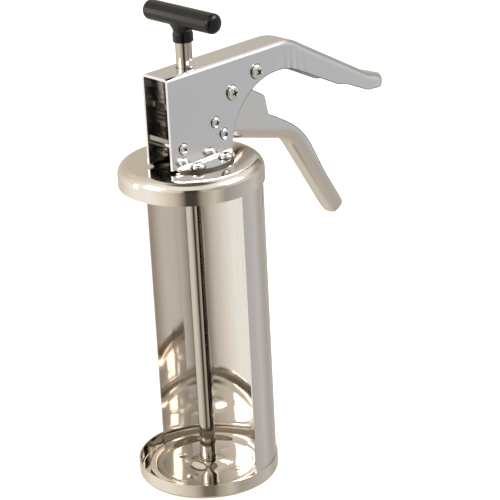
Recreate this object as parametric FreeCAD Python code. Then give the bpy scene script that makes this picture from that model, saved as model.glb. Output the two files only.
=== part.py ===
"""Hand-squeezed sausage stuffer: open cartridge cradle, ratchet head, T-handled push rod.

Millimetres. The origin is where the push rod's axis meets the plane the base ring stands on.
+Z runs up the rod to the T-handle, +X towards the two handles, and the head's side plates
face -Y and +Y. The cradle's open side and the head's open front face -X.
"""
import FreeCAD, Part
import math
import os

V = FreeCAD.Vector
UP = V(0, 0, 1)
ALONG_Y = V(0, 1, 0)

# ---- driving dimensions -------------------------------------------------------------------
# cradle: base ring, half-round barrel and cap
BARREL_R = 39.2            # outer radius of the half-round barrel
BARREL_WALL = 0.8
RING_WALL = 0.8
RING_HEIGHT = 8.5
RING_FLOOR = 0.8
RING_MOUTH_R = 31.0        # opening that the cartridge's nozzle shoulder passes
RING_CORNER_R = 1.5
CAP_TOP_Z = 188.6          # face that the head stands on
CAP_SHEET = 1.2
CAP_DEPTH = 12.2
CAP_CORNER_R = 6.0

# head: one folded sheet that is also the fixed handle
HEAD_SHEET = 1.5
HEAD_WIDTH = 20.0          # over the side plates
HEAD_FRONT_X = -22.3
HEAD_BACK_X = 22.5         # right-hand end of the feet
HEAD_RISE = 52.7           # cap face to the flat top
HEAD_BEND_R = 2.6          # outer bend radius along the crown
FOOT_REACH = 13.0          # the feet's round outline, out from the side plates
FOOT_X = 1.6               # and its centre stands this far behind the rod
FOOT_BEND_R = 1.5          # inside radius where a side plate turns out into its foot
HANDLE_TIP_X = 153.0
HANDLE_END_R = 11.5        # the handle's end is round in plan

# fasteners: M4 for feet, pivot, stop and piston, M3 for the guide pins
M4_R, M4_HEAD_R, M4_HEAD_H = 2.0, 4.0, 2.5
M4_NUT_AF, M4_NUT_H = 7.0, 3.2
M3_R, M3_HEAD_R, M3_HEAD_H = 1.5, 3.0, 1.9
M3_NUT_AF, M3_NUT_H = 5.5, 2.4
BOLT_GAP = 0.15            # radial clearance of a screw in its hole
FOOT_SCREW_X = (-9.3, 11.2)
FOOT_SCREW_OUT = 6.0       # foot screws stand this far out from the side plates
# cross screws: x, and height above the cap's face
PIVOT_AT = (24.6, 33.6)    # the lever's pivot
STOP_AT = (43.7, 40.7)     # spacer that ends the squeeze
PIN_OVER_AT = (10.9, 20.2) # over the brake plate
PIN_UNDER_AT = (16.9, 12.1)    # the brake plate rocks on it
PIN_FRONT_AT = (-13.6, 11.8)   # stops the brake plate when it is pressed
PIVOT_SLEEVE_R = 3.0
STOP_SLEEVE_R = 4.0
PIN_SLEEVE_R = 2.5
RUN_GAP = 0.05             # radial clearance of a running fit
SIDE_GAP = 0.3             # between moving parts and the side plates

# squeeze lever
LEVER_SHEET = 1.5
LEVER_EAR_R = 7.0
LEVER_BEND_R = 4.6
NOSE_REACH = 26.6          # pivot to the centre of the nose's round tip
NOSE_R = 2.2
NOSE_REST_DEG = 9.0        # nose stands this far above level at rest, and ends as far below
NOSE_GAP = 0.3

# push rod, grips and piston
ROD_R = 4.5
ROD_GAP = 0.4              # radial clearance in the head, cap and both plates
ROD_ABOVE_HEAD = 26.7      # head's top to the rod's top end
DRIVE_PLATE = (-15.0, 12.0, 3.0)    # front x, back x, thickness
BRAKE_PLATE = (-22.0, 18.6, 2.5)    # front x, back x, thickness
BRAKE_TILT_DEG = 2.2       # the brake plate's rest tilt, which grips the rod
SPRING_WIRE_R = 0.55
SPRING_ROOM = 1.7          # rod's surface to the springs' mean coil radius
SPRING_GAP = 0.3
PISTON_R = 34.2
PISTON_SHEET = 1.0
PISTON_LIFT = 0.3          # piston rim above the base ring's floor
BOSS_R = 11.0
BOSS_Z = 4.7               # top of the piston's centre boss
SPIGOT_R = 3.0
SPIGOT_GAP = 0.1           # end float of the piston on the rod's spigot
WASHER_R, WASHER_H = 6.0, 0.8
PISTON_SCREW_HEAD_R, PISTON_SCREW_HEAD_H = 3.5, 1.8
PISTON_SCREW_DEPTH = 9.0
COLLAR_SCREW_RISE = 2.8    # small stop screw in the rod, its axis above the head's top
COLLAR_SCREW_R, COLLAR_SCREW_HEAD_R, COLLAR_SCREW_PROUD = 1.3, 2.4, 1.5
COLLAR_SCREW_DEG = -90.0
HANDLE_OVER_ROD = 1.0      # grip's axis above the rod's top end
HANDLE_BAR_WALL = 1.0      # grip bar's radius over the rod's
HANDLE_LENGTH = 54.0
HANDLE_STEM_WALL = 1.1
HANDLE_STEM_DROP = 13.5    # grip's axis down to the stem's lower end

# ---- derived dimensions -------------------------------------------------------------------
RING_R = BARREL_R + RING_WALL
CAP_R = BARREL_R + CAP_SHEET
HEAD_TOP_Z = CAP_TOP_Z + HEAD_RISE
HEAD_HALF = HEAD_WIDTH / 2
HEAD_INNER = HEAD_HALF - HEAD_SHEET
LEVER_HALF = HEAD_INNER - SIDE_GAP
ROD_HOLE_R = ROD_R + ROD_GAP
ROD_TOP_Z = HEAD_TOP_Z + ROD_ABOVE_HEAD
SPRING_R = ROD_R + SPRING_ROOM
COLLAR_SCREW_Z = HEAD_TOP_Z + COLLAR_SCREW_RISE
HANDLE_Z = ROD_TOP_Z + HANDLE_OVER_ROD
HANDLE_R = ROD_R + HANDLE_BAR_WALL
HANDLE_STEM_R = ROD_R + HANDLE_STEM_WALL
HANDLE_STEM_Z = HANDLE_Z - HANDLE_STEM_DROP
FOOT_R = HEAD_HALF + FOOT_REACH
FOOT_SCREWS = [(x, side * (HEAD_HALF + FOOT_SCREW_OUT)) for side in (-1, 1) for x in FOOT_SCREW_X]
PIVOT, STOP, PIN_OVER, PIN_UNDER, PIN_FRONT = [
    (x, CAP_TOP_Z + rise)
    for x, rise in (PIVOT_AT, STOP_AT, PIN_OVER_AT, PIN_UNDER_AT, PIN_FRONT_AT)]
PIVOT_X, PIVOT_Z = PIVOT
NOSE_X = PIVOT_X - NOSE_REACH * math.cos(math.radians(NOSE_REST_DEG))
NOSE_Z = PIVOT_Z + NOSE_REACH * math.sin(math.radians(NOSE_REST_DEG))
DRIVE_TOP_Z = NOSE_Z - NOSE_R - NOSE_GAP
DRIVE_BOTTOM_Z = DRIVE_TOP_Z - DRIVE_PLATE[2]
BRAKE_HINGE = (PIN_UNDER[0], PIN_UNDER[1] + PIN_SLEEVE_R + RUN_GAP)


# ---- helpers ------------------------------------------------------------------------------
def outline(corners):
    """Closed wire in the XZ plane: straight runs through (x, z, radius) corners, with tangent arcs."""
    points = [V(x, 0, z) for x, z, radius in corners]
    count = len(points)
    stations = []
    for i, (x, z, radius) in enumerate(corners):
        here, before, after = points[i], points[i - 1], points[(i + 1) % count]
        into, out = (before - here).normalize(), (after - here).normalize()
        if radius == 0:
            stations.append((here, None, here))
            continue
        half = into.getAngle(out) / 2
        run = radius / math.tan(half)
        bisector = (into + out).normalize()
        middle = here + bisector * (radius / math.sin(half) - radius)
        stations.append((here + into * run, middle, here + out * run))
    edges = []
    for i, (start, middle, end) in enumerate(stations):
        if middle is not None:
            edges.append(Part.Arc(start, middle, end).toShape())
        following = stations[(i + 1) % count][0]
        if (following - end).Length > 1e-6:
            edges.append(Part.makeLine(end, following))
    return Part.Wire(edges)


def inset(corners, depth):
    """An open run of (x, z, radius) corners moved sideways by depth, to the right of travel."""
    lines = []
    for (x0, z0, r0), (x1, z1, r1) in zip(corners, corners[1:]):
        length = math.hypot(x1 - x0, z1 - z0)
        nx, nz = (z1 - z0) / length, -(x1 - x0) / length
        lines.append((x0 + nx * depth, z0 + nz * depth, x1 + nx * depth, z1 + nz * depth))
    moved = [(lines[0][0], lines[0][1], 0)]
    for (ax, az, bx, bz), (cx, cz, dx, dz), corner in zip(lines, lines[1:], corners[1:]):
        ux, uz, vx, vz = bx - ax, bz - az, dx - cx, dz - cz
        along = ((cx - ax) * vz - (cz - az) * vx) / (ux * vz - uz * vx)
        turn_right = ux * vz - uz * vx < 0
        radius = corner[2] - depth if turn_right else corner[2] + depth
        moved.append((ax + ux * along, az + uz * along, max(radius, 0) if corner[2] else 0))
    moved.append((lines[-1][2], lines[-1][3], 0))
    return moved


def prism(corners, half_width):
    """The outline's face carried from y -half_width to +half_width."""
    face = Part.Face(outline(corners))
    face.translate(V(0, -half_width, 0))
    return face.extrude(V(0, 2 * half_width, 0))


def turned(corners):
    """Solid of revolution about the rod's axis from (radius, z, corner radius) corners."""
    return Part.Face(outline(corners)).revolve(V(0, 0, 0), UP, 360)


def rod_shape(radius, low, high, x=0.0, y=0.0):
    return Part.makeCylinder(radius, high - low, V(x, y, low), UP)


def crossbar(radius, low_y, high_y, place):
    """Cylinder along Y at place (x, z)."""
    return Part.makeCylinder(radius, high_y - low_y, V(place[0], low_y, place[1]), ALONG_Y)


def box(x0, x1, y0, y1, z0, z1):
    return Part.makeBox(x1 - x0, y1 - y0, z1 - z0, V(x0, y0, z0))


def pan_screw(radius, head_r, head_h, length):
    """Cross-recessed pan-head screw along +Z: head from z 0 up, shank below."""
    corners = [(0, -length, 0), (radius, -length, 0), (radius, 0, 0), (head_r, 0, 0),
               (head_r, head_h, head_h * 0.62), (0, head_h, 0)]
    screw = turned(corners)
    arm, slot = head_r * 0.55, head_r * 0.17
    for angle in (45, 135):
        cut = box(-arm, arm, -slot, slot, head_h * 0.45, head_h + 1)
        cut.rotate(V(0, 0, 0), UP, angle)
        screw = screw.cut(cut)
    return screw


def hex_nut(across_flats, height, bore):
    """Nut along +Z from z 0, with both faces' corners turned off."""
    corner = across_flats / math.sqrt(3)
    ring = [V(corner * math.cos(math.radians(60 * i)), corner * math.sin(math.radians(60 * i)), 0)
            for i in range(7)]
    body = Part.Face(Part.makePolygon(ring)).extrude(V(0, 0, height))
    chamfer = (corner - across_flats / 2) * 1.2
    rounder = turned([(0, 0, 0), (corner - chamfer, 0, 0), (corner + 0.1, chamfer * 0.6, 0),
                      (corner + 0.1, height - chamfer * 0.6, 0), (corner - chamfer, height, 0),
                      (0, height, 0)])
    return body.common(rounder).cut(rod_shape(bore, -1, height + 1))


def laid(shape, place, side):
    """A +Z fastener laid along Y at place (x, z): side -1 points it out of the near plate."""
    copy = shape.copy()
    copy.rotate(V(0, 0, 0), V(1, 0, 0), 90 if side < 0 else -90)
    copy.translate(V(place[0], side * HEAD_HALF, place[1]))
    return copy


def coil(low, high, turns):
    """Compression spring about the rod, its wire's ends dead at low and high."""
    bottom, top = low + SPRING_WIRE_R, high - SPRING_WIRE_R
    path = Part.makeLongHelix((top - bottom) / turns, top - bottom, SPRING_R)
    path.translate(V(0, 0, bottom))
    start = V(SPRING_R, 0, bottom)
    ring = Part.Wire([Part.makeCircle(SPRING_WIRE_R, start, V(0, 1, 0))])
    return Part.Wire(path).makePipeShell([ring], True, True)


def export(name, *shapes):
    shape = shapes[0] if len(shapes) == 1 else Part.makeCompound(list(shapes))
    shape.exportStep("parts/" + name + ".step")


# ---- cradle -------------------------------------------------------------------------------
def base_ring():
    """Shallow pressed ring: an upright rim round a flat floor with an open mouth."""
    inner = RING_R - RING_WALL
    return turned([
        (RING_MOUTH_R, 0, 0), (RING_R, 0, RING_CORNER_R), (RING_R, RING_HEIGHT, 0),
        (inner, RING_HEIGHT, 0), (inner, RING_FLOOR, RING_CORNER_R - RING_WALL),
        (RING_MOUTH_R, RING_FLOOR, 0)])


def barrel_trough():
    """Half tube on the handle side, from the ring's floor up inside the cap."""
    low = RING_FLOOR + RING_CORNER_R - RING_WALL
    high = CAP_TOP_Z - CAP_CORNER_R
    tube = rod_shape(BARREL_R, low, high).cut(rod_shape(BARREL_R - BARREL_WALL, low, high))
    return tube.common(box(0, BARREL_R + 1, -BARREL_R - 1, BARREL_R + 1, low, high))


def cap():
    """Pressed lid over the barrel's top, with holes for the rod and the four foot screws."""
    bottom = CAP_TOP_Z - CAP_DEPTH
    under = CAP_TOP_Z - CAP_SHEET
    shape = turned([
        (0, under, 0), (BARREL_R, under, CAP_CORNER_R - CAP_SHEET), (BARREL_R, bottom, 0),
        (CAP_R, bottom, 0), (CAP_R, CAP_TOP_Z, CAP_CORNER_R), (0, CAP_TOP_Z, 0)])
    shape = shape.cut(rod_shape(ROD_HOLE_R, under - 1, CAP_TOP_Z + 1))
    for x, y in FOOT_SCREWS:
        shape = shape.cut(rod_shape(M4_R + BOLT_GAP, under - 1, CAP_TOP_Z + 1, x, y))
    return shape


# ---- head and fixed handle ----------------------------------------------------------------
CROWN = [(HEAD_FRONT_X, HEAD_TOP_Z, 0), (72.2, HEAD_TOP_Z, 32.0), (136.6, HEAD_TOP_Z - 36.4, 10.0),
         (HANDLE_TIP_X, HEAD_TOP_Z - 42.0, 3.0)]
UNDERSIDE = [(HANDLE_TIP_X - 0.3, HEAD_TOP_Z - 47.5, 3.0), (133.5, HEAD_TOP_Z - 46.1, 14.0),
             (115.0, HEAD_TOP_Z - 37.5, 5.0), (109.5, HEAD_TOP_Z - 36.6, 5.0),
             (HEAD_BACK_X, HEAD_TOP_Z + 7.9, 37.0)]


def head_frame():
    """Folded sheet: feet, two side plates, flat top, and the channel-shaped handle behind."""
    outer = prism(CROWN + UNDERSIDE + [(HEAD_BACK_X, CAP_TOP_Z, 0), (HEAD_FRONT_X, CAP_TOP_Z, 0)],
                  HEAD_HALF)
    crown_edges = [edge for edge in outer.Edges if on_crown(edge, CROWN, HEAD_HALF)]
    outer = outer.makeFillet(HEAD_BEND_R, crown_edges)
    outer = outer.common(round_ended(HANDLE_END_R, HEAD_FRONT_X, CAP_TOP_Z))
    roof = inset([(HEAD_FRONT_X - 5, HEAD_TOP_Z, 0)] + CROWN[1:], HEAD_SHEET)
    (x1, z1, _), (x2, z2, _) = roof[-2:]
    end_x = HANDLE_TIP_X - 2 * HEAD_SHEET
    roof[-1] = (end_x, z1 + (z2 - z1) * (end_x - x1) / (x2 - x1), 0)
    below = CAP_TOP_Z - 10
    inner = prism(roof + [(roof[-1][0], below, 0), (roof[0][0], below, 0)], HEAD_INNER)
    inner_edges = [edge for edge in inner.Edges if on_crown(edge, roof, HEAD_INNER)]
    inner = inner.makeFillet(HEAD_BEND_R - HEAD_SHEET, inner_edges)
    inner = inner.common(round_ended(HANDLE_END_R - HEAD_SHEET, HEAD_FRONT_X - 10, below))
    plates = outer.cut(inner)
    bend_top = CAP_TOP_Z + HEAD_SHEET + 2 * FOOT_BEND_R
    plates = plates.cut(box(HEAD_FRONT_X - 1, HEAD_BACK_X + 5, -HEAD_HALF - 1, HEAD_HALF + 1,
                            CAP_TOP_Z - 1, bend_top))
    shape = plates.fuse([foot(side, bend_top) for side in (-1, 1)]).removeSplitter()
    shape = shape.cut(rod_shape(ROD_HOLE_R, HEAD_TOP_Z - 5, HEAD_TOP_Z + 5))
    for x, y in FOOT_SCREWS:
        shape = shape.cut(rod_shape(M4_R + BOLT_GAP, CAP_TOP_Z - 1, CAP_TOP_Z + 5, x, y))
    for place in (PIVOT, STOP):
        shape = shape.cut(crossbar(M4_R + BOLT_GAP, -HEAD_HALF - 1, HEAD_HALF + 1, place))
    for place in (PIN_OVER, PIN_UNDER, PIN_FRONT):
        shape = shape.cut(crossbar(M3_R + BOLT_GAP, -HEAD_HALF - 1, HEAD_HALF + 1, place))
    return shape


def round_ended(radius, front, low):
    """Upright block as wide as the head whose rear end is round, like the handle's."""
    centre = HANDLE_TIP_X - HANDLE_END_R
    return rod_shape(radius, low, HEAD_TOP_Z, centre).fuse(
        box(front, centre, -HEAD_HALF, HEAD_HALF, low, HEAD_TOP_Z))


def on_crown(edge, crown, half_width):
    """True for an edge that runs along the crown at one of the two sides."""
    box_ = edge.BoundBox
    flat = box_.YLength < 1e-6 and abs(abs(box_.YMin) - half_width) < 1e-6
    if not flat:
        return False
    middle = edge.valueAt((edge.FirstParameter + edge.LastParameter) / 2)
    nearest = min(distance_to_run(middle, a, b) for a, b in zip(crown, crown[1:]))
    return nearest < 1.5 and box_.XLength > 2


def distance_to_run(point, a, b):
    """Distance in the XZ plane from a point to the run between two corners."""
    ux, uz = b[0] - a[0], b[1] - a[1]
    length2 = ux * ux + uz * uz
    along = max(0.0, min(1.0, ((point.x - a[0]) * ux + (point.z - a[1]) * uz) / length2))
    return math.hypot(point.x - a[0] - ux * along, point.z - a[1] - uz * along)


def foot(side, bend_top):
    """A side plate's lower end, turned out into a flange with a round outline."""
    low, high = CAP_TOP_Z, CAP_TOP_Z + HEAD_SHEET
    section = outline([(HEAD_INNER, bend_top, 0), (HEAD_INNER, low, FOOT_BEND_R + HEAD_SHEET),
                       (FOOT_R + 1, low, 0), (FOOT_R + 1, high, 0),
                       (HEAD_HALF, high, FOOT_BEND_R), (HEAD_HALF, bend_top, 0)])
    bar = Part.Face(section).extrude(V(0, HEAD_BACK_X - HEAD_FRONT_X, 0))
    bar.rotate(V(0, 0, 0), UP, 90)
    bar.translate(V(HEAD_BACK_X, 0, 0))
    if side < 0:
        bar = bar.mirror(V(0, 0, 0), ALONG_Y)
    rounder = rod_shape(FOOT_R, low, bend_top, FOOT_X)
    upright = box(HEAD_FRONT_X, HEAD_BACK_X, -HEAD_HALF, HEAD_HALF, low + HEAD_SHEET, bend_top)
    return bar.common(rounder.fuse(upright))


def foot_fasteners():
    """The four pan-head screws through the feet and the cap, and their nuts."""
    head_z = CAP_TOP_Z + HEAD_SHEET
    nut_z = CAP_TOP_Z - CAP_SHEET - M4_NUT_H
    length = head_z - nut_z + 0.8
    screws, nuts = [], []
    for i, (x, y) in enumerate(FOOT_SCREWS):
        screw = pan_screw(M4_R, M4_HEAD_R, M4_HEAD_H, length)
        screw.rotate(V(0, 0, 0), UP, 20 + 35 * i)
        screw.translate(V(x, y, head_z))
        screws.append(screw)
        nut = hex_nut(M4_NUT_AF, M4_NUT_H, M4_R)
        nut.rotate(V(0, 0, 0), UP, 25 * i)
        nut.translate(V(x, y, nut_z))
        nuts.append(nut)
    return screws, nuts


def cross_screw(place, radius, head_r, head_h, nut_h):
    length = HEAD_WIDTH + nut_h + 0.8
    return laid(pan_screw(radius, head_r, head_h, length), place, -1)


def cross_sleeve(place, outer_r, screw_r):
    """Spacer tube on a cross screw, clamped between the side plates."""
    return crossbar(outer_r, -HEAD_INNER, HEAD_INNER, place).cut(
        crossbar(screw_r + BOLT_GAP, -HEAD_INNER, HEAD_INNER, place))


# ---- squeeze lever ------------------------------------------------------------------------
def from_pivot(corners):
    """Corners given as (x, z, radius) from the lever's pivot, moved to where the pivot is."""
    return [(PIVOT_X + x, PIVOT_Z + z, radius) for x, z, radius in corners]


GRIP_UPPER = from_pivot([
    (87.4, -98.3, 0), (74.8, -72.1, 60.0), (55.9, -36.2, 50.0), (33.9, -23.0, 4.0),
    (28.6, -20.6, 3.0), (26.2, -8.6, 5.0), (15.4, -2.2, 10.0)])
GRIP_LOWER = from_pivot([(-3.0, -27.0, 0), (46.9, -41.0, 16.0), (83.6, -100.1, 0)])
GRIP_END = from_pivot([(81.4, -96.6, 0)])[0]   # the grip's round end, on the web's outer face


def lever_outline():
    """Ear round the pivot, nose arm to the rod, and the long grip."""
    ear_top = PIVOT_Z + LEVER_EAR_R
    nose_top = NOSE_Z + NOSE_R
    nose_end = NOSE_X - NOSE_R
    nose_low = NOSE_Z - NOSE_R
    heel_x, heel_z = GRIP_LOWER[0][0], GRIP_LOWER[0][1] + 12.8
    return (GRIP_UPPER + [(PIVOT_X + 6.5, ear_top, 6.0), (PIVOT_X - 6.0, ear_top, 5.0),
                          (nose_end, nose_top, NOSE_R * 0.98), (nose_end, nose_low, NOSE_R * 0.98),
                          (PIVOT_X - 10.1, nose_low, 2.0), (PIVOT_X - 7.6, PIVOT_Z - 6.2, 4.0),
                          (heel_x, heel_z, 8.0)] + GRIP_LOWER)


def tongue(half_width, back):
    """Long bar square to the grip's web, its round end set back from GRIP_END."""
    (x0, z0, _), (x1, z1, _) = GRIP_LOWER[1:]
    along = V(x1 - x0, 0, z1 - z0).normalize()
    centre = V(GRIP_END[0], 0, GRIP_END[1]) - along * (half_width + back)
    reach = 250.0
    bar = Part.makeBox(reach, 2 * half_width, reach, V(-reach, -half_width, -reach / 2)).fuse(
        Part.makeCylinder(half_width, reach, V(0, 0, -reach / 2)))
    bar.rotate(V(0, 0, 0), ALONG_Y, math.degrees(math.atan2(-along.z, along.x)))
    bar.translate(centre)
    return bar


def squeeze_lever():
    """Deep-drawn channel: two side cheeks joined by a web along the lower edge."""
    solid = prism(lever_outline(), LEVER_HALF)
    lower_edges = [edge for edge in solid.Edges if on_crown(edge, GRIP_LOWER, LEVER_HALF)]
    solid = solid.makeFillet(LEVER_BEND_R, lower_edges).common(tongue(LEVER_HALF, 0))
    (x0, z0, _), (x1, z1, _) = GRIP_LOWER[:2]
    past = 60.0
    floor = inset([(x0 - past, z0 + past * (z0 - z1) / (x1 - x0), 0)] + GRIP_LOWER[1:],
                  -LEVER_SHEET)
    inner_half = LEVER_HALF - LEVER_SHEET
    right, top = GRIP_END[0] + 80.0, PIVOT_Z + 40.0
    hollow = prism(floor + [(right, floor[-1][1], 0), (right, top, 0), (floor[0][0], top, 0)],
                   inner_half)
    hollow_edges = [edge for edge in hollow.Edges if on_crown(edge, floor, inner_half)]
    hollow = hollow.makeFillet(LEVER_BEND_R - LEVER_SHEET, hollow_edges)
    lever = solid.cut(hollow.common(tongue(inner_half, LEVER_SHEET)))
    return lever.cut(crossbar(PIVOT_SLEEVE_R + RUN_GAP, -HEAD_HALF, HEAD_HALF, PIVOT))


# ---- plates and springs round the rod -----------------------------------------------------
def drive_plate():
    """Plate that the lever's nose pushes down the rod."""
    front, back, thick = DRIVE_PLATE
    plate = box(front, back, -LEVER_HALF, LEVER_HALF, DRIVE_BOTTOM_Z, DRIVE_BOTTOM_Z + thick)
    corners = [edge for edge in plate.Edges if edge.BoundBox.ZLength > thick / 2]
    return plate.makeFillet(2.0, corners).cut(
        rod_shape(ROD_HOLE_R, DRIVE_BOTTOM_Z - 1, DRIVE_TOP_Z + 1))


def brake_plate():
    """Plate that rocks on its rear pin and holds the rod against rising."""
    front, back, thick = BRAKE_PLATE
    x, z = BRAKE_HINGE
    plate = box(front, back, -LEVER_HALF, LEVER_HALF, z, z + thick)
    corners = [edge for edge in plate.Edges if edge.BoundBox.ZLength > thick / 2]
    plate = plate.makeFillet(1.5, corners).cut(rod_shape(ROD_HOLE_R, z - 1, z + thick + 1))
    plate.rotate(V(x, 0, z), ALONG_Y, BRAKE_TILT_DEG)
    return plate


def brake_surface(x, above):
    """Height of the brake plate's upper or lower face at x, at rest."""
    slope = math.tan(math.radians(BRAKE_TILT_DEG))
    thick = BRAKE_PLATE[2] / math.cos(math.radians(BRAKE_TILT_DEG)) if above else 0.0
    return BRAKE_HINGE[1] + (BRAKE_HINGE[0] - x) * slope + thick


def springs():
    """Return spring over the brake plate, and the weaker spring that lifts that plate."""
    reach = SPRING_R + SPRING_WIRE_R
    drive = coil(brake_surface(-reach, True) + SPRING_GAP, DRIVE_BOTTOM_Z - RUN_GAP, 5)
    brake = coil(CAP_TOP_Z, brake_surface(reach, False) - SPRING_GAP, 4)
    return drive, brake


# ---- push rod, T-handle and piston --------------------------------------------------------
SHOULDER_Z = BOSS_Z + SPIGOT_GAP
SPIGOT_END_Z = BOSS_Z - PISTON_SHEET - SPIGOT_GAP


def push_rod():
    rod = turned([(0, SPIGOT_END_Z, 0), (SPIGOT_R, SPIGOT_END_Z, 0), (SPIGOT_R, SHOULDER_Z, 0),
                  (ROD_R, SHOULDER_Z, 0.5), (ROD_R, ROD_TOP_Z, 0.5), (0, ROD_TOP_Z, 0)])
    rod = rod.cut(rod_shape(M4_R, SPIGOT_END_Z - 1, SPIGOT_END_Z + PISTON_SCREW_DEPTH))
    return rod.cut(collar_bore(COLLAR_SCREW_R))


def collar_bore(radius):
    """Cylinder from near the rod's axis out past its surface, where the small stop screw sits."""
    angle = math.radians(COLLAR_SCREW_DEG)
    outward = V(math.cos(angle), math.sin(angle), 0)
    start = V(0, 0, COLLAR_SCREW_Z)
    return Part.makeCylinder(radius, ROD_R + COLLAR_SCREW_PROUD * 0.5, start, outward)


def rod_stop_screw():
    """Small screw whose head stands out of the rod and lands on the head's top."""
    angle = math.radians(COLLAR_SCREW_DEG)
    outward = V(math.cos(angle), math.sin(angle), 0)
    seat = ROD_R - 0.8
    head = Part.makeCylinder(COLLAR_SCREW_HEAD_R, COLLAR_SCREW_PROUD + 0.8,
                             V(0, 0, COLLAR_SCREW_Z) + outward * seat, outward)
    rim = [edge for edge in head.Edges if edge.Closed
           and (edge.CenterOfMass - V(0, 0, COLLAR_SCREW_Z)).Length > ROD_R]
    head = head.makeFillet(0.6, rim).cut(rod_shape(ROD_R, COLLAR_SCREW_Z - 6, COLLAR_SCREW_Z + 6))
    return head.fuse(collar_bore(COLLAR_SCREW_R)).removeSplitter()


def t_handle():
    """Moulded cross grip on the rod's top: bar with domed ends, stem and collar."""
    half = HANDLE_LENGTH / 2
    bar = Part.Face(outline([(0, -half, 0), (HANDLE_R - 1.8, -half, 0.6), (HANDLE_R, -half + 2.6, 2.0),
                             (HANDLE_R, half - 2.6, 2.0), (HANDLE_R - 1.8, half, 0.6),
                             (0, half, 0)])).revolve(V(0, 0, 0), UP, 360)
    bar.rotate(V(0, 0, 0), V(1, 0, 0), 90)
    bar.translate(V(0, 0, HANDLE_Z))
    stem = turned([(0, HANDLE_STEM_Z, 0), (HANDLE_STEM_R, HANDLE_STEM_Z, 0.6),
                   (HANDLE_STEM_R, HANDLE_STEM_Z + 4.5, 1.0), (HANDLE_STEM_R - 0.5, HANDLE_STEM_Z + 6, 2.0),
                   (HANDLE_STEM_R - 0.2, HANDLE_Z - 3, 2.0), (HANDLE_STEM_R - 0.2, HANDLE_Z, 0),
                   (0, HANDLE_Z, 0)])
    handle = bar.fuse(stem).removeSplitter()
    return handle.cut(rod_shape(ROD_R, HANDLE_STEM_Z - 1, ROD_TOP_Z))


def piston_dish():
    """Pressed disc with a raised centre boss, a flat floor and a rim that steps up."""
    floor_z = RING_FLOOR + PISTON_LIFT + PISTON_SHEET
    top = [(0, BOSS_Z, 0), (BOSS_R, BOSS_Z, 1.0), (BOSS_R + 1.6, floor_z, 1.0),
           (PISTON_R - 7.7, floor_z, 1.2), (PISTON_R - 5.9, floor_z + 0.9, 1.2),
           (PISTON_R - 4.2, floor_z + 1.1, 1.5), (PISTON_R - 1.2, floor_z + 2.6, 1.0),
           (PISTON_R, floor_z + 2.6, 0)]
    bottom = inset(top, PISTON_SHEET)
    dish = turned(top + bottom[::-1])
    return dish.cut(rod_shape(SPIGOT_R + RUN_GAP, 0, BOSS_Z + 1))


def piston_fixing():
    """Washer and screw under the piston, fixed to the rod's end."""
    washer_z = SPIGOT_END_Z - WASHER_H
    washer = rod_shape(WASHER_R, washer_z, SPIGOT_END_Z).cut(
        rod_shape(M4_R + BOLT_GAP, washer_z, SPIGOT_END_Z))
    screw = pan_screw(M4_R, PISTON_SCREW_HEAD_R, PISTON_SCREW_HEAD_H,
                      WASHER_H + PISTON_SCREW_DEPTH - 0.5)
    screw.rotate(V(0, 0, 0), V(1, 0, 0), 180)
    screw.translate(V(0, 0, washer_z))
    return washer, screw


# ---- write the sub-parts ------------------------------------------------------------------
os.makedirs("parts", exist_ok=True)
export("base_ring", base_ring())
export("barrel_trough", barrel_trough())
export("cap", cap())
export("head_frame", head_frame())
foot_screws, foot_nuts = foot_fasteners()
export("foot_screws", *foot_screws)
export("foot_nuts", *foot_nuts)

CROSS = {"pivot": (PIVOT, PIVOT_SLEEVE_R), "stop": (STOP, STOP_SLEEVE_R)}
for cross_name, (cross_place, sleeve_r) in CROSS.items():
    export(cross_name + "_screw", cross_screw(cross_place, M4_R, M4_HEAD_R, M4_HEAD_H, M4_NUT_H))
    export(cross_name + "_sleeve", cross_sleeve(cross_place, sleeve_r, M4_R))
    export(cross_name + "_nut", laid(hex_nut(M4_NUT_AF, M4_NUT_H, M4_R), cross_place, 1))
PINS = (PIN_OVER, PIN_UNDER, PIN_FRONT)
export("guide_screws", *[cross_screw(p, M3_R, M3_HEAD_R, M3_HEAD_H, M3_NUT_H) for p in PINS])
export("guide_sleeves", *[cross_sleeve(p, PIN_SLEEVE_R, M3_R) for p in PINS])
export("guide_nuts", *[laid(hex_nut(M3_NUT_AF, M3_NUT_H, M3_R), p, 1) for p in PINS])

export("squeeze_lever", squeeze_lever())
export("drive_plate", drive_plate())
export("brake_plate", brake_plate())
drive_coil, brake_coil = springs()
export("drive_spring", drive_coil)
export("brake_spring", brake_coil)

export("push_rod", push_rod())
export("rod_stop_screw", rod_stop_screw())
export("t_handle", t_handle())
export("piston_dish", piston_dish())
piston_washer, piston_screw = piston_fixing()
export("piston_washer", piston_washer)
export("piston_screw", piston_screw)
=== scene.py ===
import math

import bmesh
import bpy
from mathutils import Matrix, Vector


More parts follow.
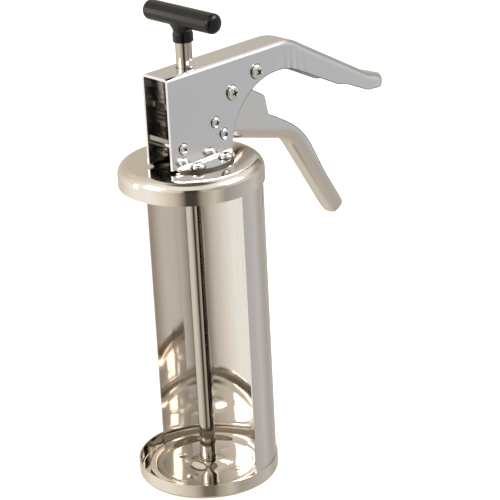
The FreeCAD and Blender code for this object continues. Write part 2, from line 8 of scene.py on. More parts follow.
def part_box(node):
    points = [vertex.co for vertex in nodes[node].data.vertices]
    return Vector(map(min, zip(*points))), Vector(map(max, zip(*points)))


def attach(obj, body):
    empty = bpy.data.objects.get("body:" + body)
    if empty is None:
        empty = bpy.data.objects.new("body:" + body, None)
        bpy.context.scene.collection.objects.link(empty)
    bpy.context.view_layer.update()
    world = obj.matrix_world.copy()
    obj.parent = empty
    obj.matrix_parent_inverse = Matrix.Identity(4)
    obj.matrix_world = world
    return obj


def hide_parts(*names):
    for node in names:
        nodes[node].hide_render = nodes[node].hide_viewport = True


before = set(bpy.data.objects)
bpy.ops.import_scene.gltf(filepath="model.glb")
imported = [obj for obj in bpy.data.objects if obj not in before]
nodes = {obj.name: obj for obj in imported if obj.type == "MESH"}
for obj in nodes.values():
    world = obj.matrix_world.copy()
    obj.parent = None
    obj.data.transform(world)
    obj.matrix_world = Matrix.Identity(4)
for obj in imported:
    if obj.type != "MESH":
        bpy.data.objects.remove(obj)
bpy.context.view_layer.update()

MM = 0.001

# ---- camera ------------------------------------------------------------------------------
# A long lens stands well back, above the bench and in front of the barrel's open side.
# It looks down a little, and is rolled so that the stuffer leans to the left.
CAMERA_AT = (-0.71208, -0.78603, 0.56686)
CAMERA_HEADING, CAMERA_DIP, CAMERA_ROLL = 46.2105, 22.2398, -2.9237    # degrees
CAMERA_LENS = 148.52             # mm on a 36 mm sensor

camera_data = bpy.data.cameras.new("camera")
camera_data.lens = CAMERA_LENS
camera = bpy.data.objects.new("camera", camera_data)
bpy.context.collection.objects.link(camera)
camera.matrix_world = (Matrix.Translation(CAMERA_AT)
                       @ Matrix.Rotation(math.radians(CAMERA_HEADING - 90), 4, "Z")
                       @ Matrix.Rotation(math.radians(90 - CAMERA_DIP), 4, "X")
                       @ Matrix.Rotation(math.radians(CAMERA_ROLL), 4, "Z"))
bpy.context.scene.camera = camera
bpy.context.scene.view_settings.view_transform = "Standard"    # whites stay white, as on a bench

# ---- light tent --------------------------------------------------------------------------
# Polished steel shows only what stands round it, so the stuffer stands in a cloth light tent.
# Its walls are cream on the barrel's open side and grey beside it, under a belt of other shades
# and a pale roof. It is dark where the camera looks in and at the gap overhead.
# Each band lists (heading in degrees from +X, colour).
TENT_WALL = [(-180, "#F0EAE0"), (-160, "#D2CABF"), (-150, "#A59C92"), (-142, "#4A433D"),
             (-126, "#4A433D"), (-118, "#A39B91"), (-98, "#D8D2CA"), (-80, "#A5A29E"),
             (-66, "#B0AFAE"), (-46, "#BEBEBF"), (-20, "#CFCECD"), (0, "#B4B1AD"),
             (46, "#B7B1A8"), (85, "#DAD1C3"), (120, "#FFFBF3"), (160, "#FFFFFA"), (180, "#F0EAE0")]
TENT_FLOOR = [(-180, "#C3B9AB"), (-60, "#B5ADA2"), (40, "#BDB3A5"), (110, "#DAD0C1"),
              (180, "#C3B9AB")]
TENT_BELT = [(-180, "#FFFCF6"), (-150, "#D8D2C9"), (-143, "#332E2A"), (-125, "#332E2A"),
             (-115, "#C9C4BC"), (-90, "#A5A29E"), (-60, "#DEDBD7"), (-30, "#E2DFDA"),
             (0, "#A39E97"), (46, "#C4BCB0"), (90, "#D6CEC2"), (130, "#FFFDF8"), (180, "#FFFCF6")]
TENT_ROOF = [(-180, "#FFFCF6"), (-110, "#EDEBE8"), (-60, "#FFFFFF"), (0, "#F4F3F1"),
             (46, "#D6CFC4"), (100, "#E4DDD2"), (140, "#FFFDF8"), (180, "#FFFCF6")]
WALL_FROM, BELT_FROM, ROOF_FROM = (-0.60, -0.42), (0.06, 0.20), (0.42, 0.58)
GAP_FROM = (0.90, 0.985)         # like the three above, sines of the height above the horizon
TENT_GLOW = 1.25


def linear(colour):
    """An sRGB hex colour as the linear red, green, blue and alpha that a shader socket takes."""
    channels = [int(colour[i:i + 2], 16) / 255 for i in (1, 3, 5)]
    return [c / 12.92 if c <= 0.04045 else ((c + 0.055) / 1.055) ** 2.4 for c in channels] + [1.0]


def add(tree, kind, settings=(), links=()):
    """Adds one shader node; settings and links go by socket name or number, or by property."""
    node = tree.nodes.new("ShaderNode" + kind)
    for key, value in dict(settings).items():
        if isinstance(key, int) or key in node.inputs:
            node.inputs[key].default_value = value
        else:
            setattr(node, key, value)
    for key, socket in dict(links).items():
        tree.links.new(socket, node.inputs[key])
    return node


def fill_ramp(ramp, stops):
    """Gives a colour ramp its (position, linear colour) stops."""
    elements = ramp.color_ramp.elements
    while len(elements) < len(stops):
        elements.new(0.5)
    for element, (position, colour) in zip(elements, stops):
        element.position = position
        element.color = colour


world = bpy.data.worlds.new("light_tent")
world.use_nodes = True
bpy.context.scene.world = world
tree = world.node_tree
tree.nodes.clear()
direction = add(tree, "TexCoord").outputs["Generated"]
parts = add(tree, "SeparateXYZ", (), {0: direction})
heading = add(tree, "Math", {"operation": "ARCTAN2"},
              {0: parts.outputs["Y"], 1: parts.outputs["X"]})
turn = add(tree, "Math", {"operation": "MULTIPLY_ADD", 1: 1 / math.tau, 2: 0.5},
           {0: heading.outputs[0]})
bands = []
for stops in (TENT_FLOOR, TENT_WALL, TENT_BELT, TENT_ROOF):
    band = add(tree, "ValToRGB", (), {0: turn.outputs[0]})
    fill_ramp(band, [((degrees + 180) / 360, linear(colour)) for degrees, colour in stops])
    bands.append(band.outputs[0])
tent = bands[0]
for (low, high), above in zip((WALL_FROM, BELT_FROM, ROOF_FROM), bands[1:]):
    rise = add(tree, "MapRange",
               {"interpolation_type": "SMOOTHSTEP", "From Min": low, "From Max": high},
               {"Value": parts.outputs["Z"]})
    tent = add(tree, "MixRGB", (), {0: rise.outputs[0], 1: tent, 2: above}).outputs[0]
overhead = add(tree, "MapRange",
               {"interpolation_type": "SMOOTHSTEP", "From Min": GAP_FROM[0],
                "From Max": GAP_FROM[1]}, {"Value": parts.outputs["Z"]})
tent = add(tree, "MixRGB", {2: linear("#5E5852")}, {0: overhead.outputs[0], 1: tent}).outputs[0]
seen = add(tree, "LightPath")
shown = add(tree, "MixRGB", {2: linear("#FFFFFF")}, {0: seen.outputs["Is Camera Ray"], 1: tent})
glow = add(tree, "Background", {"Strength": TENT_GLOW}, {"Color": shown.outputs[0]})
add(tree, "OutputWorld", (), {"Surface": glow.outputs[0]})


def softbox(name, spot, aim, width, height, watts, colour):
    """A large soft area light at spot, turned to aim."""
    data = bpy.data.lights.new(name, "AREA")
    data.shape = "RECTANGLE"
    data.size, data.size_y = width, height
    data.energy = watts
    data.color = linear(colour)[:3]
    light = bpy.data.objects.new(name, data)
    bpy.context.collection.objects.link(light)
    light.location = spot
    light.rotation_euler = (Vector(aim) - Vector(spot)).to_track_quat("-Z", "Y").to_euler()


softbox("key_softbox", (0.55, -0.75, 1.05), (0, 0, 0.15), 0.7, 0.5, 9, "#FFFFFF")
softbox("fill_softbox", (-1.05, 0.35, 0.75), (0, 0, 0.12), 0.6, 0.6, 6, "#FFF6E8")
softbox("strip_softbox", (-1.02, 1.10, 0.30), (0, 0, 0.20), 0.22, 0.9, 1.4, "#FFFAF2")

# ---- bench -------------------------------------------------------------------------------
# The stuffer stands on a plain white paper sweep, lit almost to pure white.
# Only the soft shadow where the ring touches it shows.
PAPER_GAP = 0.1                  # mm under the ring
paper = bpy.data.materials.new("white_paper_sweep")
paper.use_nodes = True
paper.node_tree.nodes.clear()
paper_skin = add(paper.node_tree, "BsdfPrincipled",
                 {"Base Color": linear("#F4F3F1"), "Roughness": 0.9, "Specular IOR Level": 0.1,
                  "Emission Color": linear("#FFFFFF"), "Emission Strength": 0.42})
add(paper.node_tree, "OutputMaterial", (), {"Surface": paper_skin.outputs[0]})
sheet = bmesh.new()
bmesh.ops.create_grid(sheet, x_segments=8, y_segments=8, size=4.0)
sheet_mesh = bpy.data.meshes.new("bench_paper")
sheet.to_mesh(sheet_mesh)
sheet.free()
sheet_mesh.materials.append(paper)
bench = bpy.data.objects.new("bench_paper", sheet_mesh)
bpy.context.collection.objects.link(bench)
bench.location = (0, 0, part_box("base_ring")[0].z - PAPER_GAP * MM)
bench.visible_glossy = False


# ---- base ring, barrel, cap and piston ---------------------------------------------------
# Stainless sheet, pressed and rolled from blanks that were polished on a mop beforehand, so
# the faces mirror, with the faint lines that the mop left and a slight waviness.
def steel_skin(name, colour, roughness, lines_axis, line_mm, wave_depth, smear, lined=1.0):
    """Bare steel: mop lines along lines_axis, lined times as strong as on mopped sheet, a slow
    waviness wave_depth mm deep, and patches dulled by up to smear."""
    skin = bpy.data.materials.new(name)
    skin.use_nodes = True
    tree = skin.node_tree
    tree.nodes.clear()
    place = add(tree, "TexCoord").outputs["Object"]
    # one mop line is a streak line_mm wide, coarser than a real one so that it shows, and
    # sixty times as long
    stretch = [1 / (line_mm * MM)] * 3
    stretch["XYZ".index(lines_axis)] /= 60
    along = add(tree, "Mapping", {"Scale": stretch}, {"Vector": place})
    lines = add(tree, "TexNoise", {"Scale": 1.0, "Detail": 3.0, "Roughness": 0.6},
                {"Vector": along.outputs[0]})
    # dull patches about as large as a thumb, 25 mm
    patches = add(tree, "TexNoise", {"Scale": 1 / (25 * MM), "Detail": 3.0, "Distortion": 0.6},
                  {"Vector": place})
    # the sheet's own waviness, about 30 mm from crest to crest
    wave = add(tree, "TexNoise", {"Scale": 1 / (30 * MM), "Detail": 0.0}, {"Vector": place})
    dull = add(tree, "MapRange", {"From Min": 0.35, "From Max": 0.75,
                                  "To Min": roughness, "To Max": roughness + smear},
               {"Value": patches.outputs["Fac"]})
    grain = add(tree, "MapRange", {"From Min": 0.3, "From Max": 0.7,
                                   "To Min": -0.02 * lined, "To Max": 0.02 * lined},
                {"Value": lines.outputs["Fac"]})
    rough = add(tree, "Math", {"operation": "ADD"}, {0: dull.outputs[0], 1: grain.outputs[0]})
    tint = add(tree, "MapRange", {"From Min": 0.3, "From Max": 0.7,
                                  "To Min": 1 - 0.05 * lined, "To Max": 1 + 0.03 * lined},
               {"Value": lines.outputs["Fac"]})
    base = add(tree, "VectorMath", {"operation": "SCALE", 0: linear(colour)[:3]},
               {"Scale": tint.outputs[0]})
    scratch = add(tree, "Bump", {"Strength": 0.06 * lined, "Distance": 0.02 * MM},
                  {"Height": lines.outputs["Fac"]})
    buckle = add(tree, "Bump", {"Strength": 1.0, "Distance": wave_depth * MM},
                 {"Height": wave.outputs["Fac"], "Normal": scratch.outputs[0]})
    shine = add(tree, "BsdfPrincipled", {"Metallic": 1.0},
                {"Base Color": base.outputs[0], "Roughness": rough.outputs[0],
                 "Normal": buckle.outputs[0]})
    add(tree, "OutputMaterial", (), {"Surface": shine.outputs[0]})
    return skin


def dress(material, *names):
    """Gives CAD nodes, which keep their own shape, their finished material."""
    for name in names:
        nodes[name].data.materials.clear()
        nodes[name].data.materials.append(material)


barrel_steel = steel_skin("stainless_304_barrel_mirror_mopped", "#D0CBC6", 0.05,
                          "Z", 0.4, 0.25, 0.05)
dress(barrel_steel, "barrel_trough")
pressed_steel = steel_skin("stainless_304_pressings_mirror_mopped", "#D8D1C7", 0.07,
                           "Y", 0.4, 0.12, 0.06)
dress(pressed_steel, "base_ring", "cap")


def settle(piece, angle=32):
    """Applies a piece's modifiers, then shades it smooth but for its true edges."""
    flat = bpy.data.meshes.new_from_object(
        piece.evaluated_get(bpy.context.evaluated_depsgraph_get()))
    piece.modifiers.clear()
    piece.data = flat
    form = bmesh.new()
    form.from_mesh(flat)
    for face in form.faces:
        face.smooth = True
    for edge in form.edges:
        edge.smooth = len(edge.link_faces) == 2 and edge.calc_face_angle(0) < math.radians(angle)
    form.to_mesh(flat)
    form.free()
    weigh = piece.modifiers.new("even_shading", "WEIGHTED_NORMAL")
    weigh.keep_sharp, weigh.weight = True, 80


# The piston is pressed too: a rolled rim, a floor that falls towards a fluted cone round the
# rod, and four small nibs where the blank was held.
PISTON_R, DISH_SHEET, DISH_FLOOR = 34.2, 0.9, 2.1
DISH_TOP = [(3.05, 4.7), (5.6, 4.7), (6.4, 4.55), (8.0, 4.0), (10.0, 3.15), (12.0, 2.5),
            (14.0, 2.18), (17.0, DISH_FLOOR), (21.0, DISH_FLOOR + 0.05),
            (25.0, DISH_FLOOR + 0.15), (26.6, 2.35), (27.6, 2.9), (28.6, 3.6), (29.7, 4.2),
            (31.0, 4.55), (32.4, 4.65), (33.4, 4.45), (PISTON_R, 4.0)]      # (radius, height)
DISH_STEP, DISH_SIDES = 0.7, 144
FLUTE_DEPTH, FLUTE_AT, FLUTE_WIDTH = 0.55, 10.5, 3.2
NIB_HEIGHT, NIB_R = 0.5, 2.4
NIBS = [(angle, 18.4) for angle in (15, 105, 195, 285)]      # degrees from +X, mm from the rod


def dish_height(x, y, z):
    """The pressed top's height at (x, y), with the cone's four flutes and the nibs."""
    radius, turn = math.hypot(x, y), math.atan2(y, x)
    flute = (FLUTE_DEPTH * math.exp(-((radius - FLUTE_AT) / FLUTE_WIDTH) ** 2)
             * (0.5 + 0.5 * math.cos(4 * turn)))
    nib = sum(math.exp(-(((x - r * math.cos(math.radians(a))) ** 2
                          + (y - r * math.sin(math.radians(a))) ** 2) / NIB_R ** 2) ** 3)
              for a, r in NIBS)
    return z - flute + NIB_HEIGHT * nib


dish_form = bmesh.new()
fine = []
for (r0, z0), (r1, z1) in zip(DISH_TOP, DISH_TOP[1:]):
    steps = max(1, round((r1 - r0) / DISH_STEP))
    fine += [(r0 + (r1 - r0) * i / steps, z0 + (z1 - z0) * i / steps) for i in range(steps)]
fine.append(DISH_TOP[-1])
rings = []
for radius, z in fine:
    ring = []
    for i in range(DISH_SIDES):
        angle = math.tau * i / DISH_SIDES
        x, y = radius * math.cos(angle), radius * math.sin(angle)
        ring.append(dish_form.verts.new(Vector((x, y, dish_height(x, y, z))) * MM))
    rings.append(ring)
for low, high in zip(rings, rings[1:]):
    for i in range(DISH_SIDES):
        k = (i + 1) % DISH_SIDES
        dish_form.faces.new((low[i], high[i], high[k], low[k]))
dish_mesh = bpy.data.meshes.new("piston_pressing")
dish_form.to_mesh(dish_mesh)
dish_form.free()
dish_mesh.materials.append(pressed_steel)
dish = bpy.data.objects.new("piston_pressing", dish_mesh)
bpy.context.collection.objects.link(dish)
thick = dish.modifiers.new("sheet", "SOLIDIFY")
thick.thickness, thick.offset = DISH_SHEET * MM, -1.0
settle(dish, 50)
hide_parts("piston_dish")
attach(dish, "piston")

# ---- head --------------------------------------------------------------------------------
# One blank of 1.5 mm stainless sheet, folded over a former: feet, side plates, flat top and
# the channel-shaped handle. The fold is sharp over the rod, softer along the handle, and the
# plates puckered where the top turns down. Polished to a soft grey shine.
HEAD_HALF, HEAD_SHEET = 10.0, 1.5
HEAD_FRONT, HEAD_BACK = -22.3, 22.5
HEAD_TOP, CAP_FACE = 241.3, 188.6
TIP_X = 153.4
HANDLE_ROUND = 10.4              # the handle's end is round over this length
HANDLE_BLUNT = 0.012             # square of the share of its width that its very end keeps
CROWN = [(HEAD_FRONT, HEAD_TOP, 0), (72.2, HEAD_TOP, 32.0), (136.6, HEAD_TOP - 36.4, 14.0),
         (TIP_X, HEAD_TOP - 42.1, 0)]
UNDERSIDE = [(TIP_X, HEAD_TOP - 47.6, 0), (133.5, HEAD_TOP - 46.1, 14.0),
             (115.0, HEAD_TOP - 37.5, 5.0), (109.5, HEAD_TOP - 36.6, 5.0),
             (HEAD_BACK, HEAD_TOP + 7.9, 37.0), (HEAD_BACK, CAP_FACE, 0)]
FOOT_X, FOOT_REACH, FOOT_BEND = 1.6, 23.0, 1.5
ROD_HOLE_R = 4.9
SHARP_FOLD, SOFT_FOLD = 2.6, 5.0      # the fold's outer radius over the rod, along the handle
EDGE = 0.45                      # how wide a strip along the sheet's edges is painted dark as shade
CREASE_X, CREASE_DEPTH, CREASED_LENGTH = 70, 0.55, 17
HEAD_CREASES = [(57.0, 0.9, 5.0), (62.5, -1.0, 3.6), (67.0, 1.3, 3.0), (72.5, -1.2, 3.4),
                (78.0, 0.9, 4.0), (84.0, -0.6, 5.0)]      # along x, depth share, width
HEAD_ROWS = 26                   # rows of faces down each side plate
FOOT_STEPS = 5                   # rows round each foot's bend, and across its flat


def rounded(corners, step=1.0):
    """Points (x, z) every step mm along straight runs through corners with tangent arcs."""
    path = [Vector(corners[0][:2])]
    for before, (x, z, radius), after in zip(corners, corners[1:], corners[2:]):
        here = Vector((x, z))
        back = (Vector(before[:2]) - here).normalized()
        ahead = (Vector(after[:2]) - here).normalized()
        half_angle = back.angle(ahead) / 2
        if radius < 0.01 or half_angle > math.pi / 2 - 0.01:
            path.append(here)
            continue
        reach = radius / math.tan(half_angle)
        centre = here + (back + ahead).normalized() * radius / math.sin(half_angle)
        start, end = here + back * reach - centre, here + ahead * reach - centre
        sweep = start.angle_signed(end)
        count = max(3, int(abs(sweep) * radius / 0.5))
        for i in range(count + 1):
            turned = start.copy()
            turned.rotate(Matrix.Rotation(-sweep * i / count, 2))
            path.append(centre + turned)
    path.append(Vector(corners[-1][:2]))
    points, left = [path[0]], step
    for a, b in zip(path, path[1:]):
        length = (b - a).length
        while left <= length:
            points.append(a.lerp(b, left / length))
            left += step
        left -= length
    if (points[-1] - path[-1]).length > 0.2 * step:
        points.append(path[-1])
    return points


def depth_to(point, inward, line, limit):
    """How far the ray from point along inward runs before it meets a line of points."""
    best = limit
    for a, b in zip(line, line[1:]):
        run, gap = b - a, a - point
        across = inward.x * run.y - inward.y * run.x
        if abs(across) > 1e-9:
            far = (gap.x * run.y - gap.y * run.x) / across
            part = (gap.x * inward.y - gap.y * inward.x) / across
            if far > 0.5 and -1e-6 <= part <= 1 + 1e-6:
                best = min(best, far)
    return best


def soft(value, low, high):
    """0 below low, 1 above high, smooth between."""
    t = min(1.0, max(0.0, (value - low) / (high - low)))
    return t * t * (3 - 2 * t)


def half_section(half, bend, depth, cheek_rows):
    """(y, depth) points from a channel's middle over its fold and down one cheek."""
    rows = [((half - bend) * i / 4, 0.0) for i in range(4)]
    rows += [(half - bend + bend * math.sin(a), bend - bend * math.cos(a))
             for a in [math.radians(90 * i / 8) for i in range(9)]]
    rows += [(half, bend + (depth - EDGE - bend) * i / cheek_rows)
             for i in range(1, cheek_rows + 1)]
    return rows + [(half, depth)]


def both_sides(half_rows):
    """The half section mirrored, so that it runs from one cheek's edge to the other's."""
    return [(-y, d) for y, d in half_rows[:0:-1]] + half_rows


def skin_over(name, sections, edge_at, skins, sheet, rides, replaced, bores):
    """A sheet-metal piece: a grid of sections in mm, thickened inwards, with bores cut by drill.
    edge_at says how many strips from each section's middle its edge strip is, which is painted dark
    as shade; or 0."""
    form = bmesh.new()
    grid = [[form.verts.new(Vector(point) * MM) for point in section] for section in sections]
    middle = len(grid[0]) // 2
    for a, b, near, far in zip(grid, grid[1:], edge_at, edge_at[1:]):
        for i in range(len(a) - 1):
            face = form.faces.new((a[i], a[i + 1], b[i + 1], b[i]))
            # the strip along the sheet's edge takes the painted shade
            if near and far and i in (middle + near - 1, middle - near):
                face.material_index = 1
    bmesh.ops.remove_doubles(form, verts=form.verts, dist=0.02 * MM)
    bmesh.ops.recalc_face_normals(form, faces=form.faces)
    mesh = bpy.data.meshes.new(name)
    form.to_mesh(mesh)
    form.free()
    for skin in skins:
        mesh.materials.append(skin)
    piece = bpy.data.objects.new(name, mesh)
    bpy.context.collection.objects.link(piece)
    thick = piece.modifiers.new("sheet", "SOLIDIFY")
    thick.thickness, thick.offset = sheet * MM, -1.0
    drills = [drill(*bore) for bore in bores]
    for tool in drills:
        cut = piece.modifiers.new("bore", "BOOLEAN")
        cut.operation, cut.object, cut.solver = "DIFFERENCE", tool, "EXACT"
    settle(piece)
    for tool in drills:
        bpy.data.objects.remove(tool)
    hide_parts(replaced)
    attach(piece, rides)
    return piece


def drill(radius, start, end):
    """A cylinder to cut a hole with, between two points in mm."""
    axis = Vector(end) - Vector(start)
    form = bmesh.new()
    bmesh.ops.create_cone(form, cap_ends=True, segments=40, radius1=radius * MM,
                          radius2=radius * MM, depth=axis.length * MM)
    form.transform(Matrix.Translation((Vector(start) + Vector(end)) / 2 * MM)
                   @ axis.to_track_quat("Z", "Y").to_matrix().to_4x4())
    mesh = bpy.data.meshes.new("drill")
    form.to_mesh(mesh)
    form.free()
    tool = bpy.data.objects.new("drill", mesh)
    bpy.context.collection.objects.link(tool)
    return tool


def pucker(x, z):
    """How far the head's side plate stands out of true, in mm, where the top turns down."""
    near = math.exp(-((x - CREASE_X) / CREASED_LENGTH) ** 2) * soft(HEAD_TOP - 3 - z, 0, 6)
    near *= 0.35 + 0.65 * soft(HEAD_TOP - z, 8, 24)
    spread = 1 + (HEAD_TOP - 24 - z) / 60      # the creases fan out as they run down
    return CREASE_DEPTH * near * sum(
        share * math.exp(-((x - CREASE_X - (c - CREASE_X) * spread) / w) ** 2)
        for c, share, w in HEAD_CREASES)


crown = rounded(CROWN)
underside = rounded(UNDERSIDE, 0.5)
# three stations stand close together at the body's back edge, where the handle begins
stations = [Vector((HEAD_FRONT, HEAD_TOP))]
stations += [p for p in crown[1:] if abs(p.x - HEAD_BACK) > 0.6]
stations += [Vector((HEAD_BACK, HEAD_TOP)), Vector((HEAD_BACK + 0.05, HEAD_TOP)),
             Vector((HEAD_BACK + 0.5, HEAD_TOP))]
stations.sort(key=lambda p: p.x)
sections, edge_at = [], []
for i, at in enumerate(stations):
    before, after = stations[max(0, i - 1)], stations[min(len(stations) - 1, i + 1)]
    along = (after - before).normalized()
    inward = Vector((along.y, -along.x))
    to_tip = (TIP_X - at.x) / along.x
    half = HEAD_HALF
    if to_tip < HANDLE_ROUND:
        end_share = 1 - ((HANDLE_ROUND - to_tip) / HANDLE_ROUND) ** 2
        half *= math.sqrt(max(HANDLE_BLUNT, end_share))
    bend = min(SHARP_FOLD + (SOFT_FOLD - SHARP_FOLD) * soft(at.x, 60, 90), half * 0.9)
    on_body = at.x <= HEAD_BACK + 0.01
    plate_end = CAP_FACE + HEAD_SHEET + FOOT_BEND
    depth = HEAD_TOP - plate_end if on_body else depth_to(at, inward, underside, 60)
    depth = max(depth, bend + 0.5)
    side = half_section(half, bend, depth, HEAD_ROWS)
    edge_at.append(0 if on_body else len(side) - 1)
    reach = math.sqrt(max(0.0, FOOT_REACH ** 2 - (at.x - FOOT_X) ** 2)) if on_body else 0.0
    for step in range(1, FOOT_STEPS + 1):
        turn = math.radians(90 * step / FOOT_STEPS)
        if not on_body:
            side.append(side[-1])
        elif reach < HEAD_HALF + 0.1:
            side.append((half, depth + FOOT_BEND * step / FOOT_STEPS))
        else:
            out = min(reach, HEAD_HALF + FOOT_BEND - FOOT_BEND * math.cos(turn))
            side.append((out, depth + FOOT_BEND * math.sin(turn)))
    for step in range(1, FOOT_STEPS + 1):
        out, low = side[-1]
        side.append((out + max(0.0, reach - out) * step / FOOT_STEPS, low))
    section = []
    for y, d in both_sides(side):
        spot = at + inward * d
        shift = pucker(spot.x, spot.y) if abs(abs(y) - half) < 0.01 and d > bend else 0.0
        section.append((spot.x, y + math.copysign(shift, y), spot.y))
    sections.append(section)
head_steel = steel_skin("stainless_304_head_satin_mopped", "#D8D8D9", 0.15,
                        "X", 0.35, 0.05, 0.03, 0.25)
# The sheet's cut edges and a thin strip along them: rougher than the faces, as sheared edges are,
# and painted dark as the shade that falls at edges and gaps.
edge_steel_painted_shade = steel_skin("stainless_304_edge_painted_shade", "#77736E", 0.30, "Y", 0.3, 0.0, 0.05)
head = skin_over("head_sheet", sections, edge_at, (head_steel, edge_steel_painted_shade), HEAD_SHEET,
                 "frame", "head_frame",
                 [(ROD_HOLE_R, (0, 0, HEAD_TOP - 6), (0, 0, HEAD_TOP + 6))])
# beyond their bends, the feet's upright faces are painted dark as shade too
past_bend = HEAD_HALF + FOOT_BEND + 0.3
for face in head.data.polygons:
    if abs(face.normal.z) < 0.5 and abs(face.center.y) > past_bend * MM:
        face.material_index = 1

# ---- squeeze lever -----------------------------------------------------------------------
# One piece of stainless sheet, deep-drawn to a channel with a round spoon-like end, then
# polished like the head. Its cheeks rise to an ear round the pivot, and two short arms reach
# from there to the drive plate.
LEVER_HALF, LEVER_SHEET = 8.2, 1.5
GRIP_WEB = [(107.6, 123.0, 0), (71.5, 181.2, 17.0), (21.6, 195.2, 0)]
GRIP_EDGE = [(114.5, 118.7, 0), (99.4, 150.1, 60.0), (80.5, 186.0, 50.0), (58.5, 199.2, 4.0),
             (53.2, 201.6, 3.0), (50.8, 213.6, 5.0), (40.0, 220.0, 10.0), (31.1, 229.2, 6.0),
             (18.6, 229.2, 5.0), (17.0, 216.0, 4.0), (21.6, 208.0, 6.0), (17.0, 195.2, 0)]
ARM = [(-3.9, 226.4), (-3.9, 230.0), (20.0, 228.6), (24.0, 222.0), (18.0, 216.4), (14.0, 223.6)]
SPOON = 9.5                      # the grip's end is round over this length
SPOON_BLUNT = 0.02               # square of the share of its width that its very end keeps
LEVER_ROWS = 16                  # rows of faces down each cheek
RIM = 0.8                        # the least height of cheek left beyond the fold
TIP_CURL = 4.5                   # and its last stretch curls in by this much
LEVER_FOLD = 7.0                 # outer radius between the web and the cheeks
PIVOT_X, PIVOT_Z, PIVOT_HOLE_R = 24.6, 222.2, 3.05

web = rounded(GRIP_WEB)
web_edge = rounded(GRIP_EDGE, 0.5)
sections, edge_at = [], []
for i, at in enumerate(web):
    before, after = web[max(0, i - 1)], web[min(len(web) - 1, i + 1)]
    along = (after - before).normalized()
    inward = Vector((along.y, -along.x))
    from_end = (at - web[0]).length
    half = LEVER_HALF
    if from_end < SPOON:
        half *= math.sqrt(max(SPOON_BLUNT, 1 - ((SPOON - from_end) / SPOON) ** 2))
    bend = min(LEVER_FOLD, half * 0.9)
    depth = max(depth_to(at, inward, web_edge, 40), bend + RIM)
    depth = max(bend + RIM, depth * (0.75 + 0.25 * soft(from_end, 0, SPOON)))
    side = half_section(half, bend, depth, LEVER_ROWS)
    edge_at.append(len(side) - 1)
    curl = TIP_CURL * (1 - math.sqrt(1 - (1 - min(1.0, from_end / TIP_CURL)) ** 2))
    curled = [(y, curl + d * (depth - curl) / depth) for y, d in both_sides(side)]
    sections.append([((at + inward * d).x, y, (at + inward * d).y) for y, d in curled])
lever_steel = steel_skin("stainless_304_lever_satin_mopped", "#DBD9D6", 0.24,
                         "X", 0.35, 0.10, 0.03, 0.3)
# the lever's edges are painted dark as shade too
skin_over("lever_sheet", sections, edge_at, (lever_steel, edge_steel_painted_shade), LEVER_SHEET,
          "lever", "squeeze_lever",
          [(PIVOT_HOLE_R, (PIVOT_X, -12, PIVOT_Z), (PIVOT_X, 12, PIVOT_Z))])

# the arms lie inside the cheeks' thickness, with a hair's breadth of cheek on both sides
HAIR = 0.05
arm_outline = rounded([corner + (0,) for corner in ARM + ARM[:1]])[:-1]
arms = bmesh.new()
for y in (-LEVER_HALF + HAIR, LEVER_HALF - LEVER_SHEET + HAIR):
    plate = arms.faces.new([arms.verts.new(Vector((x, y, z)) * MM) for x, z in arm_outline])
    risen = bmesh.ops.extrude_face_region(arms, geom=[plate])["geom"]
    bmesh.ops.translate(arms, verts=[v for v in risen if isinstance(v, bmesh.types.BMVert)],
                        vec=(0, (LEVER_SHEET - 2 * HAIR) * MM, 0))
bmesh.ops.recalc_face_normals(arms, faces=arms.faces)
arms_mesh = bpy.data.meshes.new("lever_arms")
arms.to_mesh(arms_mesh)
arms.free()
arms_mesh.materials.append(lever_steel)
arms_piece = bpy.data.objects.new("lever_arms", arms_mesh)
bpy.context.collection.objects.link(arms_piece)
settle(arms_piece)
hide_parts("squeeze_lever")
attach(arms_piece, "lever")

# ---- push rod ----------------------------------------------------------------------------
# Stainless bar, centreless ground. That leaves a bright, slightly warm face whose fine lines
# run along the rod here.
rod_steel = steel_skin("stainless_rod_centreless_ground", "#B8B1A8", 0.10, "Z", 0.3, 0.0, 0.05)
dress(rod_steel, "push_rod")

# ---- plates, sleeves, springs ------------------------------------------------------------
# The plates that grip the rod are ground carbon steel, dull beside the stainless head. The
# sleeves are turned from bar, and the springs coiled from hard-drawn wire.
plate_steel = steel_skin("carbon_steel_plate_surface_ground", "#8F8A83", 0.22, "X", 0.4, 0.0, 0.08)
dress(plate_steel, "drive_plate", "brake_plate")
sleeve_steel = steel_skin("free_cutting_steel_turned", "#B3AEA7", 0.2, "Y", 0.3, 0.0, 0.06)
dress(sleeve_steel, "pivot_sleeve", "stop_sleeve", "guide_sleeves")
spring_steel = steel_skin("spring_wire_hard_drawn", "#8B857E", 0.25, "Z", 0.2, 0.0, 0.08)
dress(spring_steel, "drive_spring", "brake_spring")

# ---- screws and nuts ---------------------------------------------------------------------
# Cold-headed stainless pan-head screws with cross recesses, tumbled bright. The recesses and
# a hairline round each head's foot are painted black as shade. The nuts are plain hexagons.
screw_steel = steel_skin("stainless_a2_cold_headed", "#E2E0DC", 0.09, "Z", 0.3, 0.0, 0.05)
dress(screw_steel, "foot_nuts", "pivot_nut", "stop_nut", "guide_nuts",
      "piston_washer", "piston_screw", "rod_stop_screw")
# painted shade for the screws' cross recesses and the hairline round each head
recess_painted_shade = bpy.data.materials.new("screw_recess_painted_shade_black")
recess_painted_shade.use_nodes = True
recess_painted_shade.node_tree.nodes.clear()
shade_surface = add(recess_painted_shade.node_tree, "BsdfPrincipled",
            {"Base Color": linear("#1C1815"), "Roughness": 0.6})
add(recess_painted_shade.node_tree, "OutputMaterial", (), {"Surface": shade_surface.outputs[0]})
M4 = (2.0, 4.0, 2.5)             # thread radius, head radius, head height
M3 = (1.5, 3.0, 1.9)
FOOT_FACE = CAP_FACE + HEAD_SHEET
ACROSS_HEAD = 24.0               # length of a screw that runs right through the head


